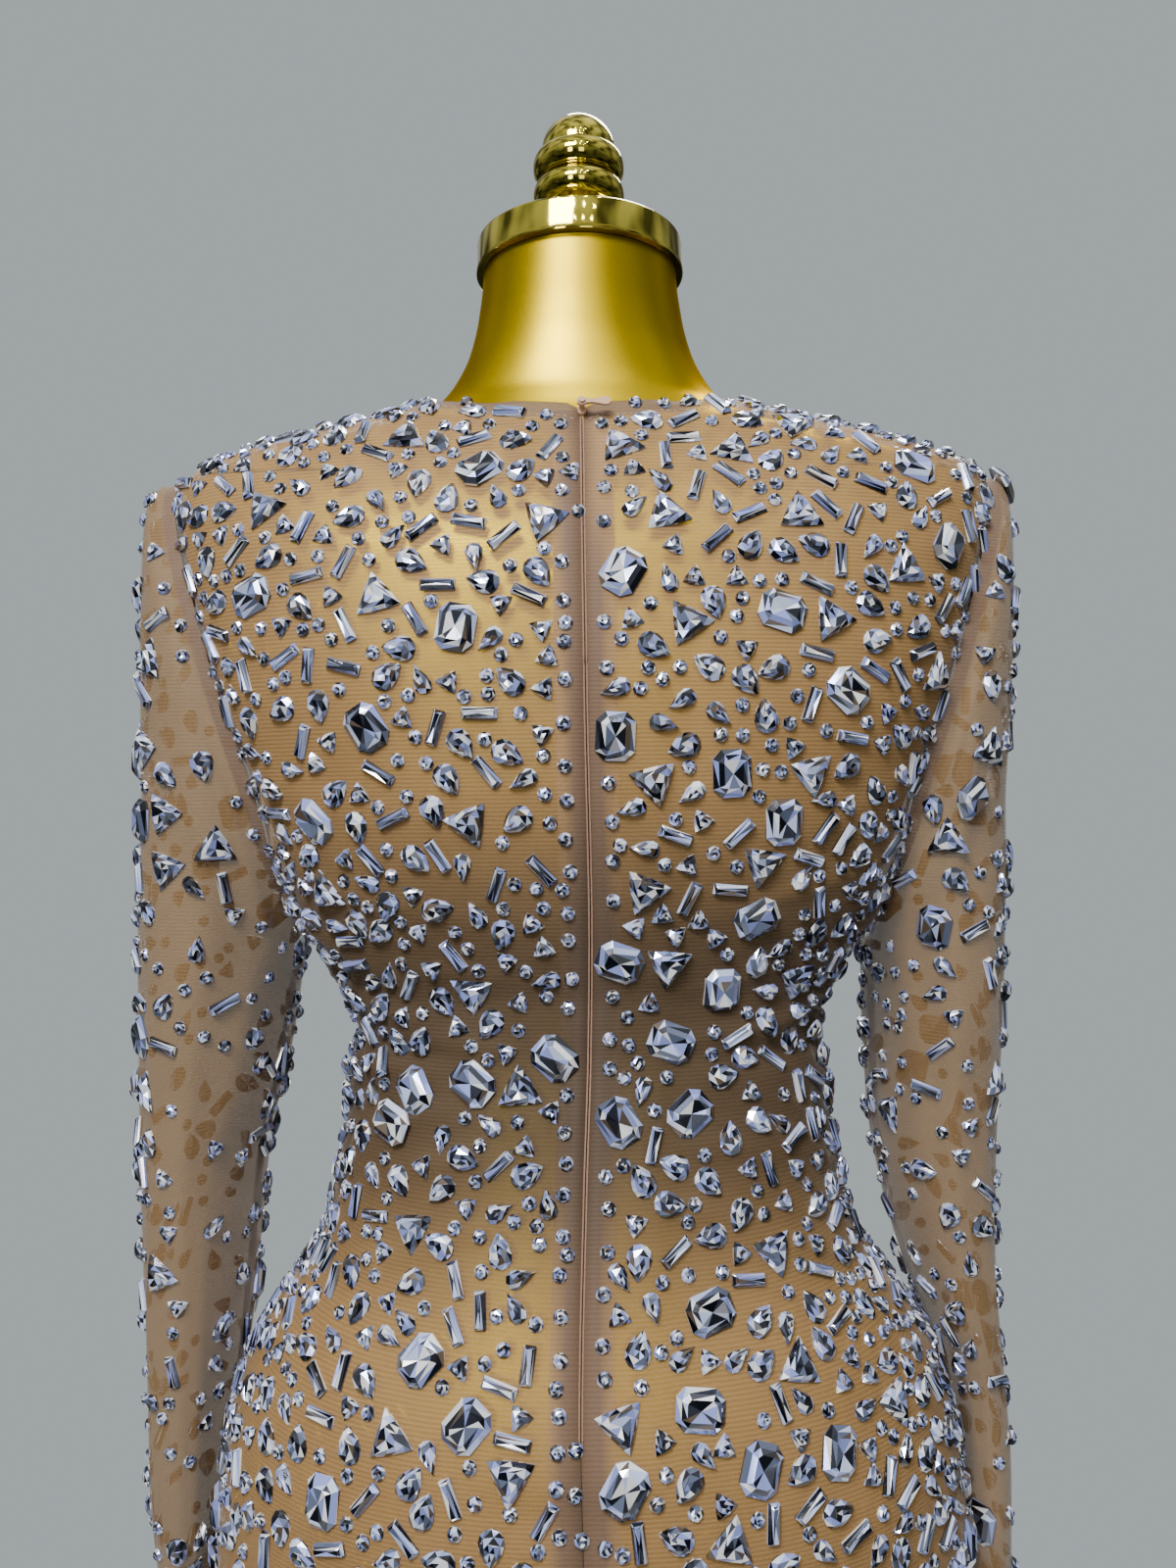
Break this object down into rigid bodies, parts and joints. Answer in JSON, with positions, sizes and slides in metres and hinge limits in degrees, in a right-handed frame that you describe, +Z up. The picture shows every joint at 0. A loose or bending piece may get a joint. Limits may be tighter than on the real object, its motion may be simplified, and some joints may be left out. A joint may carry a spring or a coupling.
{
  "type": "party dress on dress form",
  "caption": "Fitted long-sleeved sheer mesh dress set with cut glass stones, with a back zip and swinging pull tab, on a limbless metallic dress form with neck cap, finial, pole and base.",
  "frame": {"origin": "centre of the base's underside, on the floor", "axes": "+Z up; the dress's back faces -Y and its front +Y; +X is the wearer's right"},
  "size_m": [0.4428, 0.35, 1.5361],
  "materials": {
    "mesh_cloth": "sheer rose-beige stretch power mesh, matte",
    "crystal": "foil-backed cut glass, silver-blue",
    "zip_tape": "woven tape, dusty pink-beige",
    "enamel": "beige enamel on zinc",
    "satin_gold": "satin metallic gold lacquer",
    "polished_gold": "polished gold plating"
  },
  "bodies": {
    "dress_form": {"front": "mesh_cloth", "back_left": "mesh_cloth", "back_right": "mesh_cloth", "sleeve_left": "mesh_cloth", "sleeve_right": "mesh_cloth", "zip_tape_left": "zip_tape", "zip_tape_right": "zip_tape", "zip_slider": "enamel", "form_torso": "satin_gold", "neck_cap": "polished_gold", "finial": "polished_gold", "pole": "polished_gold", "base": "polished_gold"},
    "pull_tab": {"zip_pull": "enamel"}
  },
  "joints": [
    {"name": "pull_tab_swing", "type": "hinge", "parent": "dress_form", "child": "pull_tab", "pos_m": [0.00052, -0.0715, 1.36889], "axis": [0, 0.9169, -0.3992], "range_deg": [-45, 225]}
  ]
}
